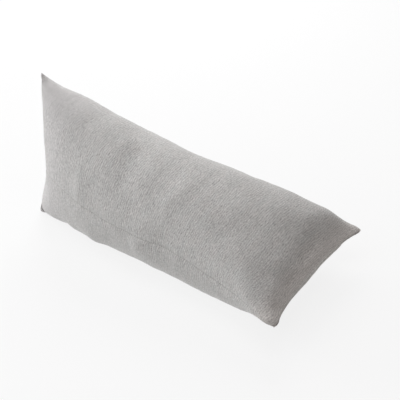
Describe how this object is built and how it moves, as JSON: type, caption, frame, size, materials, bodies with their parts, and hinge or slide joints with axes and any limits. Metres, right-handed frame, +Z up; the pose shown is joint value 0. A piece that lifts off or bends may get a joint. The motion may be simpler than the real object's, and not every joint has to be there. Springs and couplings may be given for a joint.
{
  "type": "tetrahedral cushion",
  "caption": "Long filled cushion of plain woven cloth: a tube sewn shut at both ends, with the end seams a quarter turn apart, so its sides taper like triangles.",
  "frame": {"origin": "on the surface the cushion lies on, under the middle of its box", "axes": "+X from the upright end seam to the lying end seam, -Y the front with the long seam, +Z up"},
  "size_m": [0.7852, 0.4338, 0.3619],
  "materials": {
    "cloth": "matt brushed melange weave"
  },
  "bodies": {
    "root": {"cushion": "cloth"}
  },
  "joints": []
}
